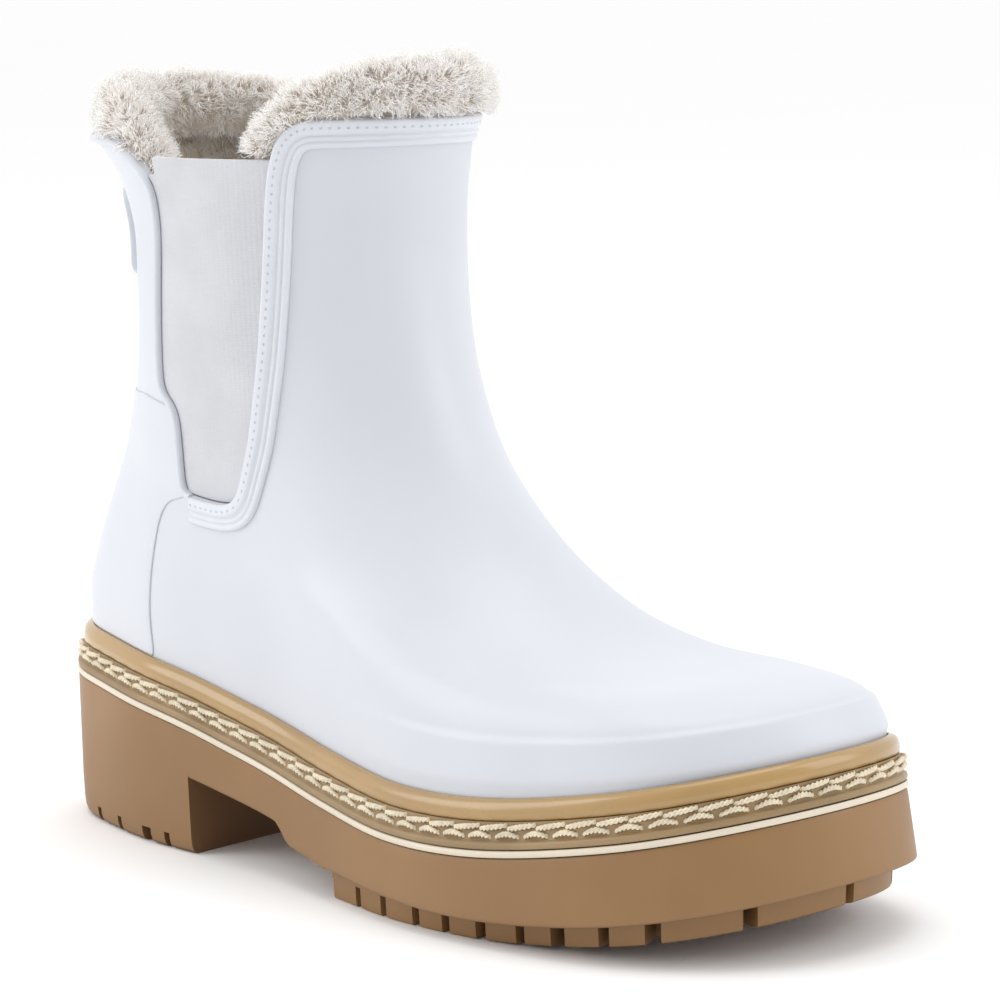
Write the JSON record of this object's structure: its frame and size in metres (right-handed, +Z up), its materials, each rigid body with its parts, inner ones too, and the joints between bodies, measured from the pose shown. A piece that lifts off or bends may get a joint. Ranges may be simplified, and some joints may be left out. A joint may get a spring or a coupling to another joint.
{
  "type": "chelsea rain boot",
  "caption": "Right-foot chelsea rain boot: hollow moulded upper, elastic side gores, shearling collar, stitched welt and lugged block-heel sole.",
  "frame": {"origin": "on the floor, under the middle of the heel block", "axes": "+X towards the toe, -Y towards the outer side of the right foot, +Z up"},
  "size_m": [0.2818, 0.11, 0.223],
  "materials": {
    "gum": "satin gum rubber",
    "stripe": "satin cream rubber",
    "welt": "satin tan rubber",
    "rand": "glossy amber rubber",
    "fleece": "short fleece",
    "shell": "semi-gloss white rubber",
    "elastic": "fine ribbed elastic",
    "shearling": "curly pile"
  },
  "bodies": {
    "root": {"outsole": "gum", "midsole": "stripe", "welt": "welt", "rand": "rand", "insole": "fleece", "upper": "shell", "gore_lateral": "elastic", "gore_medial": "elastic", "collar_trim": "shell", "heel_counter": "shell", "back_tab": "shell", "fur_front": "shearling", "fur_back": "shearling"}
  },
  "joints": []
}
